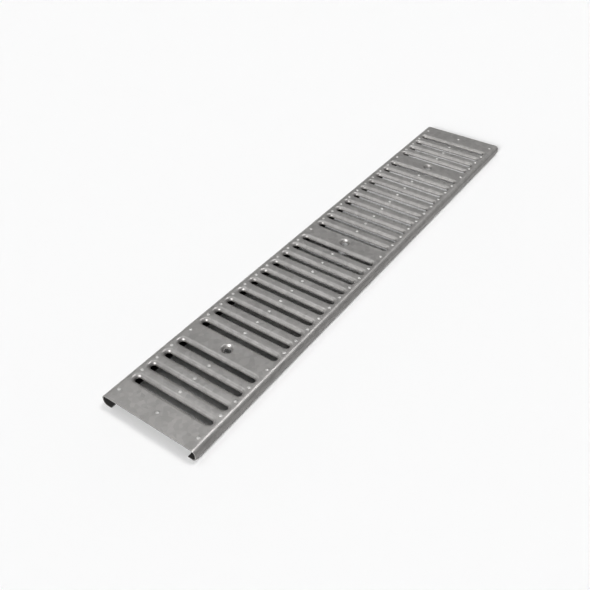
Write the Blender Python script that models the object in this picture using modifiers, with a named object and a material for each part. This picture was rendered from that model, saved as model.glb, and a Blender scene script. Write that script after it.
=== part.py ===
# Channel drain grate: one folded and pressed sheet of hot-dip galvanised steel.
# The top has 28 rolled slots in four bays, three dished locking holes and raised anti-slip nubs.
# Both long sides fold down and return inwards as plain flanges, which rest on the channel's ledges.
# Metres, +X along the grate, +Z up, origin at the middle of the footprint, flange undersides at Z = 0.

import math

import bmesh
import bpy
from mathutils import Vector
from mathutils.geometry import delaunay_2d_cdt

MM = 0.001

# The folded sheet
LENGTH = 1000 * MM
WIDTH = 173 * MM
HEIGHT = 20 * MM
SHEET = 2 * MM
FOLD_RADIUS = 8 * MM
FLANGE = 15 * MM

# Slots across the grate, in bays of ten, with flat bars between their rolled edges
SLOT_OPENING = 10 * MM
SLOT_ROLL = 6 * MM
BAR_FLAT = 8.8 * MM
SLOTS_PER_BAY = 10
FOLD_MARGIN = 1 * MM
END_MARGIN = 50 * MM

# Locking holes, each at the bottom of a pressed dish in the land between two bays
HOLE_DIAMETER = 11 * MM
DISH_DIAMETER = 23 * MM
DISH_DEPTH = 4 * MM
DISH_FLOOR = 1.2 * MM
DISH_MARGIN = 4 * MM

# Raised nubs, three to a bar
NUB_DIAMETER = 6.6 * MM
NUB_TOP_DIAMETER = 3.2 * MM
NUB_HEIGHT = 1.1 * MM
SIDE_NUB_INSET = 13 * MM
END_NUB_INSET = 21 * MM

# Fineness of the round forms
FOLD_STEPS = 5
ROLL_STEPS = 3
SLOT_END_STEPS = 6
DISH_SIDES = 18
DISH_STEPS = 5
NUB_SIDES = 6

# From the middle of one slot to the next: over a bar, and over a land with its dish
SLOT_WIDTH = SLOT_OPENING + 2 * SLOT_ROLL
SLOT_PITCH = SLOT_WIDTH + BAR_FLAT
LOCKING_LAND = SLOT_WIDTH + DISH_DIAMETER + 2 * DISH_MARGIN

GALVANISED_COLOUR = (0.36, 0.37, 0.38, 1.0)


def slot_bays():
    """Distances of the slots from the middle land outwards, bay by bay, up to the end margin."""
    bays = []
    x = LOCKING_LAND / 2
    while x <= LENGTH / 2 - END_MARGIN:
        if not bays or len(bays[-1]) == SLOTS_PER_BAY:
            bays.append([])
        bays[-1].append(x)
        x += LOCKING_LAND if len(bays[-1]) == SLOTS_PER_BAY else SLOT_PITCH
    return bays


def both_ways(distances):
    """X of each distance from the middle, towards both ends."""
    return [end * distance for distance in distances for end in (-1, 1)]


def slot_centres(bays):
    """X of each slot."""
    return both_ways(x for bay in bays for x in bay)


def hole_centres(bays):
    """X of each locking hole: one in the middle, and one in each land between two bays."""
    return [0.0] + both_ways((inner[-1] + outer[0]) / 2 for inner, outer in zip(bays, bays[1:]))


def nub_centres(bays):
    """X and Y of each nub: three to a bar and to each end, and two beside each locking hole."""
    side = WIDTH / 2 - SIDE_NUB_INSET
    bars = both_ways((a + b) / 2 for bay in bays for a, b in zip(bay, bay[1:]))
    ends = both_ways([LENGTH / 2 - END_NUB_INSET])
    centres = [(x, y) for x in ends + bars for y in (-side, 0, side)]
    centres += [(x, y) for x in hole_centres(bays) for y in (-side, side)]
    return centres


def slot_ring(x, radius, drop):
    """A round-ended slot outline, with its long axis across the grate."""
    straight = WIDTH / 2 - FOLD_RADIUS - FOLD_MARGIN - SLOT_WIDTH / 2
    points = []
    for end in (1, -1):
        for i in range(SLOT_END_STEPS + 1):
            angle = math.pi * i / SLOT_END_STEPS
            across = end * (straight + radius * math.sin(angle))
            points.append(Vector((x + end * radius * math.cos(angle), across, HEIGHT - drop)))
    return points


def round_ring(x, y, radius, sides, lift=0.0):
    """A circle of points about (x, y), raised or lowered from the top face."""
    points = []
    for i in range(sides):
        angle = 2 * math.pi * i / sides
        points.append(Vector((x + radius * math.cos(angle), y + radius * math.sin(angle), HEIGHT + lift)))
    return points


def slot_rings(x):
    """The slot's edge, rolled down through a quarter circle from the top face to the clear opening."""
    rings = []
    for i in range(ROLL_STEPS + 1):
        angle = math.pi / 2 * i / ROLL_STEPS
        radius = SLOT_OPENING / 2 + SLOT_ROLL * (1 - math.sin(angle))
        rings.append(slot_ring(x, radius, SLOT_ROLL * (1 - math.cos(angle))))
    return rings


def dish_rings(x):
    """The dish round a locking hole: an S-shaped wall down to a narrow flat floor about the hole."""
    outer = DISH_DIAMETER / 2
    foot = HOLE_DIAMETER / 2 + DISH_FLOOR
    rings = []
    for i in range(DISH_STEPS):
        share = i / (DISH_STEPS - 1)
        drop = DISH_DEPTH * (1 - math.cos(math.pi * share)) / 2
        rings.append(round_ring(x, 0, outer + (foot - outer) * share, DISH_SIDES, -drop))
    rings.append(round_ring(x, 0, HOLE_DIAMETER / 2, DISH_SIDES, -DISH_DEPTH))
    return rings


def nub_rings(x, y):
    """A nub pressed up from below, from its foot on the top face to its flat crown."""
    foot = round_ring(x, y, NUB_DIAMETER / 2, NUB_SIDES)
    crown = round_ring(x, y, NUB_TOP_DIAMETER / 2, NUB_SIDES, NUB_HEIGHT)
    return [foot, crown]


def fold_profile():
    """Y and Z down one long side: the top fold, the side wall, the bottom fold and the flange."""
    side = WIDTH / 2
    centre = side - FOLD_RADIUS
    points = []
    for middle, start in ((HEIGHT - FOLD_RADIUS, math.pi / 2), (FOLD_RADIUS, 0)):
        for i in range(FOLD_STEPS + 1):
            angle = start - math.pi / 2 * i / FOLD_STEPS
            points.append((centre + FOLD_RADIUS * math.cos(angle), middle + FOLD_RADIUS * math.sin(angle)))
    points.append((side - FLANGE, 0))
    return points


def add_rings(sheet, rings):
    """Joins each ring of points to the next with faces, and returns the rings as vertices."""
    rows = [[sheet.verts.new(point) for point in ring] for ring in rings]
    for upper, lower in zip(rows, rows[1:]):
        for i, corner in enumerate(upper):
            j = (i + 1) % len(upper)
            sheet.faces.new((corner, upper[j], lower[j], lower[i]))
    return rows


def add_side(sheet, profile, side):
    """Sweeps the fold profile along the grate on one side, and returns its two top corners."""
    rows = []
    for y, z in profile:
        rows.append([sheet.verts.new((end * LENGTH / 2, side * y, z)) for end in (-side, side)])
    for upper, lower in zip(rows, rows[1:]):
        sheet.faces.new((upper[0], upper[1], lower[1], lower[0]))
    return rows[0]


def fill_top(sheet, outline, rims):
    """Fills the flat top between its outline and the rims of slots, dishes and nubs, each of them convex."""
    loops = [outline] + rims
    corners = [corner for loop in loops for corner in loop]
    loop_of = [i for i, loop in enumerate(loops) for corner in loop]
    edges = []
    for loop in loops:
        first = len(edges)
        edges += [(first + i, first + (i + 1) % len(loop)) for i in range(len(loop))]
    flat = [corner.co.xy for corner in corners]
    _, _, faces, sources, _, _ = delaunay_2d_cdt(flat, edges, [], 1, 1e-7)
    for face in faces:
        ids = [sources[i][0] for i in face]
        loops_met = {loop_of[i] for i in ids}
        if len(loops_met) > 1 or 0 in loops_met:
            sheet.faces.new([corners[i] for i in ids])


def galvanised_steel():
    """Hot-dip galvanised steel, a light matt grey metal."""
    material = bpy.data.materials.new("galvanised_steel")
    material.use_nodes = True
    shader = material.node_tree.nodes["Principled BSDF"]
    shader.inputs["Base Color"].default_value = GALVANISED_COLOUR
    shader.inputs["Metallic"].default_value = 0.9
    shader.inputs["Roughness"].default_value = 0.45
    return material


def build_grate(collection):
    """The outer face of the sheet, thickened inwards."""
    sheet = bmesh.new()
    bays = slot_bays()
    rims = []
    for x in slot_centres(bays):
        rims.append(add_rings(sheet, slot_rings(x))[0])
    for x in hole_centres(bays):
        rims.append(add_rings(sheet, dish_rings(x))[0])
    for x, y in nub_centres(bays):
        foot, crown = add_rings(sheet, nub_rings(x, y))
        sheet.faces.new(crown)
        rims.append(foot)
    profile = fold_profile()
    right = add_side(sheet, profile, -1)
    left = add_side(sheet, profile, 1)
    fill_top(sheet, [right[1], right[0], left[1], left[0]], rims)
    sheet.normal_update()

    mesh = bpy.data.meshes.new("grate")
    sheet.to_mesh(mesh)
    sheet.free()
    mesh.shade_smooth()
    mesh.set_sharp_from_angle(angle=math.radians(40))
    mesh.materials.append(galvanised_steel())
    grate = bpy.data.objects.new("grate", mesh)
    collection.objects.link(grate)

    thickness = grate.modifiers.new("sheet thickness", "SOLIDIFY")
    thickness.thickness = SHEET
    thickness.offset = -1
    thickness.use_even_offset = True
    thickness.use_quality_normals = True
    return grate


def main():
    for obj in list(bpy.data.objects):
        bpy.data.objects.remove(obj)
    collection = bpy.data.collections.new("channel_drain_grate")
    bpy.context.scene.collection.children.link(collection)
    build_grate(collection)


main()
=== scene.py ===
import math

import bmesh
import bpy
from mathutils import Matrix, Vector
from mathutils.geometry import delaunay_2d_cdt


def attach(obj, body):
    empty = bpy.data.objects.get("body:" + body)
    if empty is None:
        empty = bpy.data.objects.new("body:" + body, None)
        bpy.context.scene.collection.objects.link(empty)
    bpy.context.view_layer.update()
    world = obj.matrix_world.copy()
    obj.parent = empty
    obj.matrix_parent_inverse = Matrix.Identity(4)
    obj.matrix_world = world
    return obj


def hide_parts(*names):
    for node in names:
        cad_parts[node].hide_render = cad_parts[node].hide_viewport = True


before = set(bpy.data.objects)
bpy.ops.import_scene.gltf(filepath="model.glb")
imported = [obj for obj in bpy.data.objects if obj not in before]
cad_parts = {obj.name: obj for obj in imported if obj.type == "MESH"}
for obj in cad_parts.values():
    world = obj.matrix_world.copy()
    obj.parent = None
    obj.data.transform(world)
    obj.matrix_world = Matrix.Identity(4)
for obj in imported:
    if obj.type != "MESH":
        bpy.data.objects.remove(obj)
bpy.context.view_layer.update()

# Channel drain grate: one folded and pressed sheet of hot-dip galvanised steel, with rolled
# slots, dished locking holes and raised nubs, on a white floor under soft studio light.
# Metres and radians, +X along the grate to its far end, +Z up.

MM = 0.001

# The folded sheet, as in the solid, with its sheared edges rounded by the zinc
LENGTH = 1000 * MM
WIDTH = 173 * MM
HEIGHT = 20 * MM
SHEET = 2 * MM
FOLD_RADIUS = 8 * MM
FLANGE = 15 * MM
EDGE_ROUND = 0.3 * MM

# Slots across the grate, in bays of ten, with flat bars between their rolled edges
SLOT_OPENING = 10 * MM
SLOT_ROLL = 6 * MM
BAR_FLAT = 8.8 * MM
SLOTS_PER_BAY = 10
FOLD_MARGIN = 1 * MM
END_MARGIN = 50 * MM

# Locking holes, each at the bottom of a pressed dish in the land between two bays.
# DISH_RIM_SHARE is the rim's part of the two bend radii of the dish's wall.
HOLE_DIAMETER = 11 * MM
DISH_DIAMETER = 23 * MM
DISH_DEPTH = 4 * MM
DISH_FLOOR = 1.2 * MM
DISH_MARGIN = 4 * MM
DISH_SLOPE = math.radians(53)
DISH_RIM_SHARE = 0.67

# Raised nubs, three to a bar, each with a small flat crown.
# NUB_FOOT_SHARE is the foot's part of the two bend radii of the nub's wall.
NUB_DIAMETER = 6.6 * MM
NUB_CROWN = 1.2 * MM
NUB_HEIGHT = 1.1 * MM
NUB_SLOPE = math.radians(40)
NUB_FOOT_SHARE = 0.38
SIDE_NUB_INSET = 13 * MM
END_NUB_INSET = 21 * MM

# From the middle of one slot to the next: over a bar, and over a land with its dish
SLOT_WIDTH = SLOT_OPENING + 2 * SLOT_ROLL
SLOT_PITCH = SLOT_WIDTH + BAR_FLAT
LOCKING_LAND = SLOT_WIDTH + DISH_DIAMETER + 2 * DISH_MARGIN

# Fineness of the round forms
FOLD_STEPS = 12
ROLL_STEPS = 9
SLOT_END_STEPS = 16
DISH_SIDES = 48
NUB_SIDES = 16
PRESS_STEPS = 4
EDGE_STEPS = 2

# Edges sharper than this get their round
SHARP_EDGE = math.radians(60)

# How the flat top is filled: only inside its outline, and points closer than this are one
INSIDE_OUTLINE = 1
WELD_DISTANCE = 1e-7

# Hot-dip galvanising leaves a dull zinc skin: crystals some 7 mm wide that each catch the
# light a little differently, soft clouds where the zinc ran and cooled, and a fine frosty
# grain. The nubs, which stand highest, get a paler zinc, partly from shoes rubbing them and
# partly as a painted highlight; below the top the zinc takes a painted shade and goes duller.
ZINC = "#B0AEAC"
# Paler zinc on the nubs: partly wear, partly a painted highlight
NUB_WEAR_AND_HIGHLIGHT_ZINC = "#DCDBD9"
# Painted shade: darker zinc for the folds, side walls, dishes and rolled slot edges below the
# top
LOW_PAINTED_SHADE_ZINC = "#858381"
# Painted shade: the inner face is coloured dark for the shadow under the sheet
UNDERSIDE_PAINTED_SHADE_ZINC = "#474645"
EDGE_ZINC = "#8F8E8C"
ZINC_METALLIC = 0.7
ZINC_ROUGHNESS = 0.43
DRAINED_ROUGHNESS = 0.62
SPANGLE_SIZE = 7 * MM
CLOUD_SIZE = 45 * MM
# True zinc grain is about 0.2 mm, and is drawn four times as coarse so that it shows.
GRAIN_SIZE = 0.8 * MM
GRAIN_DEPTH = 0.05 * MM
GRAIN_STRENGTH = 0.25

# Shares by which a crystal and a cloud lighten or darken the zinc, and the roughness that a
# crystal adds or takes. A cloud is full at these two values of its noise.
SPANGLE_GLINT = 0.1
CLOUD_DRIFT = 0.07
CLOUD_LOW, CLOUD_HIGH = 0.3, 0.7
SPANGLE_DULLNESS = 0.04

# Heights of the painted shade low down and the nubs' pale zinc, and roughness gained low down
FULL_PAINTED_SHADE_HEIGHT = HEIGHT - 4.2 * MM
NO_PAINTED_SHADE_HEIGHT = HEIGHT - 1.2 * MM
NUB_WEAR_AND_HIGHLIGHT_FULL = HEIGHT + 0.25 * MM
LOW_DOWN_DULLNESS = 0.09

# The studio: a floor, and a low backdrop that stays below every lamp as the grate sees it
WHITE_PAINT = "#F9F9F9"
PAINT_ROUGHNESS = 0.9
BACKDROP_WHITE = "#FCFCFC"
FLOOR_REACH = 30.0
BACKDROP_START = 12.0
BACKDROP_REACH = 30.0
BACKDROP_HEIGHT = 5.8
BACKDROP_STEPS = 8
BACKDROP_SIDES = 96

# Each softbox: its name, the elevation and bearing its light comes from (0 is the far end
# and 90 the left side), its power, and how wide it looks, with angles in degrees
SOFTBOXES = (
    ("overhead_softbox", 66, 347, 0.9, 20),
    ("near_softbox", 26, 190, 3.85, 20),
    ("left_softbox", 60, 80, 0.4, 30),
)
ROOM_LIGHT = 0.08

# The photograph's camera: its place, its angle below level, its bearing from +X towards the
# left, and its lens and sensor in millimetres
CAMERA_PLACE = (-0.8556, -0.4926, 0.7296)
CAMERA_DIP = 0.70327
CAMERA_BEARING = 0.61335
CAMERA_LENS = 41.09
CAMERA_SENSOR = 36
CAMERA_NEAREST = 0.05


def slot_bays():
    """Distances of the slots from the middle land outwards, in bays, up to the end margin."""
    bays = []
    x = LOCKING_LAND / 2
    while x <= LENGTH / 2 - END_MARGIN:
        if not bays or len(bays[-1]) == SLOTS_PER_BAY:
            bays.append([])
        bays[-1].append(x)
        x += LOCKING_LAND if len(bays[-1]) == SLOTS_PER_BAY else SLOT_PITCH
    return bays


def both_ways(distances):
    """X of each distance from the middle, towards both ends."""
    return [end * distance for distance in distances for end in (-1, 1)]


def slot_centres(bays):
    """X of each slot."""
    return both_ways(x for bay in bays for x in bay)


def hole_centres(bays):
    """X of each locking hole: one in the middle, and one in each land between two bays."""
    lands = zip(bays, bays[1:])
    return [0.0] + both_ways((inner[-1] + outer[0]) / 2 for inner, outer in lands)


def nub_centres(bays):
    """X and Y of each nub: three to a bar and to each end, two beside each locking hole."""
    side = WIDTH / 2 - SIDE_NUB_INSET
    bars = both_ways((a + b) / 2 for bay in bays for a, b in zip(bay, bay[1:]))
    ends = both_ways([LENGTH / 2 - END_NUB_INSET])
    centres = [(x, y) for x in ends + bars for y in (-side, 0, side)]
    centres += [(x, y) for x in hole_centres(bays) for y in (-side, side)]
    return centres


def slot_ring(x, radius, drop):
    """A round-ended slot outline, with its long axis across the grate."""
    straight = WIDTH / 2 - FOLD_RADIUS - FOLD_MARGIN - SLOT_WIDTH / 2
    points = []
    for end in (1, -1):
        for i in range(SLOT_END_STEPS + 1):
            angle = math.pi * i / SLOT_END_STEPS
            along = x + end * radius * math.cos(angle)
            across = end * (straight + radius * math.sin(angle))
            points.append(Vector((along, across, HEIGHT - drop)))
    return points


def round_ring(x, y, radius, sides, z):
    """A level circle of points about (x, y)."""
    points = []
    for i in range(sides):
        angle = 2 * math.pi * i / sides
        points.append(Vector((x + radius * math.cos(angle), y + radius * math.sin(angle), z)))
    return points


def pressed_wall(run, rise, slope, first_share):
    """Points along a pressed wall: a bend into the slope, a straight, and a bend to level.

    The first bend has first_share of the sum of the two bend radii.
    """
    radii = (run * math.tan(slope) - rise) / (1 / math.cos(slope) - 1)
    first = radii * first_share
    second = radii - first
    points = []
    for i in range(PRESS_STEPS + 1):
        angle = slope * i / PRESS_STEPS
        points.append((first * math.sin(angle), first * (1 - math.cos(angle))))
    for i in range(PRESS_STEPS + 1):
        angle = slope * (1 - i / PRESS_STEPS)
        points.append((run - second * math.sin(angle), rise - second * (1 - math.cos(angle))))
    return points


def slot_rings(x):
    """The slot's edge, rolled down from the top face through a quarter circle."""
    rings = []
    for i in range(ROLL_STEPS + 1):
        angle = math.pi / 2 * i / ROLL_STEPS
        radius = SLOT_OPENING / 2 + SLOT_ROLL * (1 - math.sin(angle))
        rings.append(slot_ring(x, radius, SLOT_ROLL * (1 - math.cos(angle))))
    return rings


def dish_rings(x):
    """The dish round a locking hole: its pressed wall, then a narrow flat floor."""
    outer = DISH_DIAMETER / 2
    foot = HOLE_DIAMETER / 2 + DISH_FLOOR
    rings = []
    for run, drop in pressed_wall(outer - foot, DISH_DEPTH, DISH_SLOPE, DISH_RIM_SHARE):
        rings.append(round_ring(x, 0, outer - run, DISH_SIDES, HEIGHT - drop))
    rings.append(round_ring(x, 0, HOLE_DIAMETER / 2, DISH_SIDES, HEIGHT - DISH_DEPTH))
    return rings


def nub_rings(x, y):
    """A nub pressed up from below, from its foot on the top face to its flat crown."""
    foot = NUB_DIAMETER / 2
    crown = NUB_CROWN / 2
    rings = []
    for run, lift in pressed_wall(foot - crown, NUB_HEIGHT, NUB_SLOPE, NUB_FOOT_SHARE):
        rings.append(round_ring(x, y, foot - run, NUB_SIDES, HEIGHT + lift))
    return rings


def fold_profile():
    """Y and Z down one long side: top fold, side wall, bottom fold and flange."""
    side = WIDTH / 2
    centre = side - FOLD_RADIUS
    points = []
    for middle, start in ((HEIGHT - FOLD_RADIUS, math.pi / 2), (FOLD_RADIUS, 0)):
        for i in range(FOLD_STEPS + 1):
            angle = start - math.pi / 2 * i / FOLD_STEPS
            points.append((centre + FOLD_RADIUS * math.cos(angle),
                           middle + FOLD_RADIUS * math.sin(angle)))
    points.append((side - FLANGE, 0))
    return points


def add_rings(sheet, rings):
    """Joins each ring of points to the next with faces, and returns the rings as vertices."""
    rows = [[sheet.verts.new(point) for point in ring] for ring in rings]
    for upper, lower in zip(rows, rows[1:]):
        for i, corner in enumerate(upper):
            j = (i + 1) % len(upper)
            sheet.faces.new((corner, upper[j], lower[j], lower[i]))
    return rows


def add_side(sheet, profile, side):
    """Sweeps the fold profile along one side of the grate, and returns its top corners."""
    rows = []
    for y, z in profile:
        ends = [(end * LENGTH / 2, side * y, z) for end in (-side, side)]
        rows.append([sheet.verts.new(point) for point in ends])
    for upper, lower in zip(rows, rows[1:]):
        sheet.faces.new((upper[0], upper[1], lower[1], lower[0]))
    return rows[0]


def fill_top(sheet, outline, rims):
    """Fills the flat top between its outline and the rims of slots, dishes and nubs."""
    loops = [outline] + rims
    corners = [corner for loop in loops for corner in loop]
    loop_of = [i for i, loop in enumerate(loops) for corner in loop]
    edges = []
    for loop in loops:
        first = len(edges)
        edges += [(first + i, first + (i + 1) % len(loop)) for i in range(len(loop))]
    flat = [corner.co.xy for corner in corners]
    filled = delaunay_2d_cdt(flat, edges, [], INSIDE_OUTLINE, WELD_DISTANCE)
    _, _, faces, sources, _, _ = filled
    for face in faces:
        ids = [sources[i][0] for i in face]
        loops_met = {loop_of[i] for i in ids}
        # Every rim is convex, so a face with all its corners on one rim lies inside that rim.
        if len(loops_met) > 1 or 0 in loops_met:
            sheet.faces.new([corners[i] for i in ids])


def add_object(name, data):
    """Puts a new object in the scene, made from a mesh, a lamp or a camera."""
    made = bpy.data.objects.new(name, data)
    bpy.context.scene.collection.objects.link(made)
    return made


def add_smooth(name, sheet):
    """Puts a sheet in the scene as a smooth-shaded object, and returns it and its mesh."""
    mesh = bpy.data.meshes.new(name)
    sheet.to_mesh(mesh)
    sheet.free()
    mesh.shade_smooth()
    return add_object(name, mesh), mesh


def pressed_sheet():
    """The whole folded sheet, thickened inwards, with its edges just rounded by the zinc."""
    sheet = bmesh.new()
    bays = slot_bays()
    rims = []
    for x in slot_centres(bays):
        rims.append(add_rings(sheet, slot_rings(x))[0])
    for x in hole_centres(bays):
        rims.append(add_rings(sheet, dish_rings(x))[0])
    for x, y in nub_centres(bays):
        rings = add_rings(sheet, nub_rings(x, y))
        sheet.faces.new(rings[-1])
        rims.append(rings[0])
    profile = fold_profile()
    right = add_side(sheet, profile, -1)
    left = add_side(sheet, profile, 1)
    fill_top(sheet, [right[1], right[0], left[1], left[0]], rims)
    sheet.normal_update()

    grate, mesh = add_smooth("galvanised_grate", sheet)
    for material in (galvanised_face(), galvanised_underside(), galvanised_edge()):
        mesh.materials.append(material)

    thickness = grate.modifiers.new("sheet thickness", "SOLIDIFY")
    thickness.thickness = SHEET
    thickness.offset = -1
    thickness.use_even_offset = True
    thickness.use_quality_normals = True
    thickness.material_offset = 1
    thickness.material_offset_rim = 2

    rounding = grate.modifiers.new("zinc on the edges", "BEVEL")
    rounding.width = EDGE_ROUND
    rounding.segments = EDGE_STEPS
    rounding.limit_method = "ANGLE"
    rounding.angle_limit = SHARP_EDGE

    shading = grate.modifiers.new("flat faces stay flat", "WEIGHTED_NORMAL")
    shading.mode = "FACE_AREA"
    return grate


def linear(code):
    """An sRGB hex colour as a linear one."""
    channels = [int(code[i:i + 2], 16) / 255 for i in (1, 3, 5)]
    levels = [c / 12.92 if c <= 0.04045 else ((c + 0.055) / 1.055) ** 2.4 for c in channels]
    return levels + [1.0]


def new_material(name):
    """A material with its node tree, and its shader with nothing linked to it yet."""
    material = bpy.data.materials.new(name)
    material.use_nodes = True
    return material, material.node_tree.nodes["Principled BSDF"]


def add_node(tree, kind, settings=None, inputs=None):
    """Adds a node with its settings; each input is a value, or an earlier node's output."""
    node = tree.nodes.new("ShaderNode" + kind)
    for name, value in (settings or {}).items():
        setattr(node, name, value)
    for name, value in (inputs or {}).items():
        if isinstance(value, bpy.types.NodeSocket):
            tree.links.new(value, node.inputs[name])
        else:
            node.inputs[name].default_value = value
    return node


def zinc_skin(name, colour, low_colour, roughness):
    """Galvanised zinc with spangle, clouds, grain, paler nubs (wear and painted highlight),
    painted shade and more roughness low down.
    """
    material, shader = new_material(name)
    tree = material.node_tree
    place = add_node(tree, "TexCoord").outputs["Object"]
    spangle = add_node(tree, "TexVoronoi", {"feature": "F1"},
                       {"Vector": place, "Scale": 1 / SPANGLE_SIZE, "Randomness": 1.0})
    crystal = add_node(tree, "SeparateColor", None, {"Color": spangle.outputs["Color"]})
    clouds = add_node(tree, "TexNoise", None,
                      {"Vector": place, "Scale": 1 / CLOUD_SIZE,
                       "Detail": 3.0, "Roughness": 0.55})
    grain = add_node(tree, "TexNoise", None,
                     {"Vector": place, "Scale": 1 / GRAIN_SIZE,
                      "Detail": 2.0, "Roughness": 0.6})

    height = add_node(tree, "SeparateXYZ", None, {"Vector": place}).outputs["Z"]
    # Painted shade: a mask that darkens the zinc, and roughens it, from just below the top down
    painted_shade_low_down = add_node(tree, "MapRange", {"interpolation_type": "SMOOTHSTEP"},
                         {"Value": height, "From Min": FULL_PAINTED_SHADE_HEIGHT,
                          "From Max": NO_PAINTED_SHADE_HEIGHT, "To Min": 1.0, "To Max": 0.0})
    # Paler zinc on the nub crowns: partly wear, partly a painted highlight
    on_nub = add_node(tree, "MapRange", {"interpolation_type": "SMOOTHSTEP"},
                      {"Value": height, "From Min": HEIGHT, "From Max": NUB_WEAR_AND_HIGHLIGHT_FULL})
    # Painted shade: the colour mixed towards the darker low colour below the top
    painted_shade_mix = add_node(tree, "MixRGB", None,
                         {"Fac": painted_shade_low_down.outputs["Result"],
                          "Color1": linear(colour), "Color2": linear(low_colour)})
    zinc = add_node(tree, "MixRGB", None,
                    {"Fac": on_nub.outputs["Result"],
                     "Color1": painted_shade_mix.outputs["Color"], "Color2": linear(NUB_WEAR_AND_HIGHLIGHT_ZINC)})

    glint = add_node(tree, "MapRange", None,
                     {"Value": crystal.outputs["Red"],
                      "To Min": 1 - SPANGLE_GLINT, "To Max": 1 + SPANGLE_GLINT})
    drift = add_node(tree, "MapRange", None,
                     {"Value": clouds.outputs["Fac"],
                      "From Min": CLOUD_LOW, "From Max": CLOUD_HIGH,
                      "To Min": 1 - CLOUD_DRIFT, "To Max": 1 + CLOUD_DRIFT})
    shade = add_node(tree, "Math", {"operation": "MULTIPLY"},
                     {0: glint.outputs["Result"], 1: drift.outputs["Result"]})
    tone = add_node(tree, "VectorMath", {"operation": "SCALE"},
                    {0: zinc.outputs["Color"], "Scale": shade.outputs["Value"]})
    tree.links.new(tone.outputs["Vector"], shader.inputs["Base Color"])

    dullness = add_node(tree, "MapRange", None,
                        {"Value": crystal.outputs["Green"],
                         "To Min": roughness - SPANGLE_DULLNESS,
                         "To Max": roughness + SPANGLE_DULLNESS})
    unpolished = add_node(tree, "Math", {"operation": "MULTIPLY_ADD"},
                          {0: painted_shade_low_down.outputs["Result"], 1: LOW_DOWN_DULLNESS,
                           2: dullness.outputs["Result"]})
    tree.links.new(unpolished.outputs["Value"], shader.inputs["Roughness"])
    frost = add_node(tree, "Bump", None,
                     {"Height": grain.outputs["Fac"],
                      "Strength": GRAIN_STRENGTH, "Distance": GRAIN_DEPTH})
    tree.links.new(frost.outputs["Normal"], shader.inputs["Normal"])
    shader.inputs["Metallic"].default_value = ZINC_METALLIC
    return material


def galvanised_face():
    """The outer face of the sheet: pale, dull zinc with a faint sheen, and painted shade low
    down.
    """
    return zinc_skin("galvanised_face", ZINC, LOW_PAINTED_SHADE_ZINC, ZINC_ROUGHNESS)


def galvanised_underside():
    """The inner face: rougher, with a dark colour that is painted shade for the shadow under the
    sheet.
    """
    return zinc_skin("galvanised_underside", UNDERSIDE_PAINTED_SHADE_ZINC, UNDERSIDE_PAINTED_SHADE_ZINC, DRAINED_ROUGHNESS)


def galvanised_edge():
    """The sheared edges, where the zinc is thinner, rougher and darker."""
    return zinc_skin("galvanised_edge", EDGE_ZINC, EDGE_ZINC, DRAINED_ROUGHNESS)


def white_paint(name):
    """Plain matt white paint, which gives an even white with no gloss."""
    material, shader = new_material(name)
    shader.inputs["Base Color"].default_value = linear(WHITE_PAINT)
    shader.inputs["Roughness"].default_value = PAINT_ROUGHNESS
    shader.inputs["Specular IOR Level"].default_value = 0.0
    return material, shader


def white_floor():
    """A plain white studio floor, wide enough to run out of sight in every view."""
    mesh = bpy.data.meshes.new("studio_floor")
    corners = [(FLOOR_REACH * x, FLOOR_REACH * y, 0)
               for x, y in ((-1, -1), (1, -1), (1, 1), (-1, 1))]
    mesh.from_pydata(corners, [], [(0, 1, 2, 3)])
    floor = add_object("studio_floor", mesh)
    mesh.materials.append(white_paint("studio_floor_paint")[0])


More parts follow.
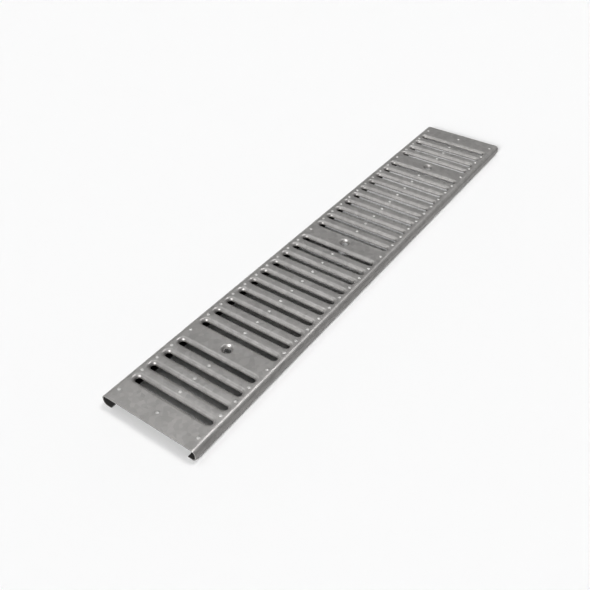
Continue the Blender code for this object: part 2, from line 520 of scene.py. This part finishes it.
def backdrop_paint():
    """White paint that is plain white wherever it is seen, and lights the room as paint does."""
    material, shader = white_paint("studio_backdrop_paint")
    tree = material.node_tree
    path = add_node(tree, "LightPath")
    in_sight = add_node(tree, "Math", {"operation": "MAXIMUM"},
                        {0: path.outputs["Is Camera Ray"], 1: path.outputs["Is Glossy Ray"]})
    seen = add_node(tree, "Math", {"operation": "MAXIMUM"},
                    {0: in_sight.outputs["Value"], 1: path.outputs["Is Transmission Ray"]})
    glow = add_node(tree, "Emission", None,
                    {"Color": linear(BACKDROP_WHITE), "Strength": 1.0})
    paint = add_node(tree, "MixShader", None,
                     {0: seen.outputs["Value"], 1: shader.outputs["BSDF"],
                      2: glow.outputs["Emission"]})
    surface = tree.nodes["Material Output"].inputs["Surface"]
    tree.links.new(paint.outputs["Shader"], surface)
    return material


def white_backdrop():
    """A low white wall far round the floor, curving up from it, so low views end in white."""
    sheet = bmesh.new()
    rings = []
    for i in range(BACKDROP_STEPS + 1):
        share = i / BACKDROP_STEPS
        radius = BACKDROP_START + (BACKDROP_REACH - BACKDROP_START) * share
        rings.append(round_ring(0, 0, radius, BACKDROP_SIDES, BACKDROP_HEIGHT * share ** 2))
    add_rings(sheet, rings)
    backdrop, mesh = add_smooth("studio_backdrop", sheet)
    mesh.materials.append(backdrop_paint())


def studio_light():
    """Three soft lamps, the strongest low beyond the near end, in a dim and even room."""
    for name, elevation, bearing, power, width in SOFTBOXES:
        lamp = bpy.data.lights.new(name, "SUN")
        lamp.energy = power
        lamp.angle = math.radians(width)
        softbox = add_object(name, lamp)
        softbox.rotation_euler = (math.radians(90 - elevation), 0, math.radians(bearing + 90))

    world = bpy.data.worlds.new("studio_room")
    world.use_nodes = True
    room = world.node_tree.nodes["Background"]
    room.inputs["Color"].default_value = (1, 1, 1, 1)
    room.inputs["Strength"].default_value = ROOM_LIGHT
    bpy.context.scene.world = world


def photo_camera():
    """The photograph's view: from the near end, to the right of the grate and above it."""
    lens = bpy.data.cameras.new("photo_camera")
    lens.sensor_width = CAMERA_SENSOR
    lens.lens = CAMERA_LENS
    lens.clip_start = CAMERA_NEAREST
    camera = add_object("photo_camera", lens)
    camera.location = CAMERA_PLACE
    camera.rotation_euler = (math.pi / 2 - CAMERA_DIP, 0, CAMERA_BEARING - math.pi / 2)
    bpy.context.scene.camera = camera


grate = pressed_sheet()
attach(grate, "root")
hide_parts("grate")
white_floor()
white_backdrop()
studio_light()
photo_camera()
bpy.context.scene.view_settings.view_transform = "Standard"
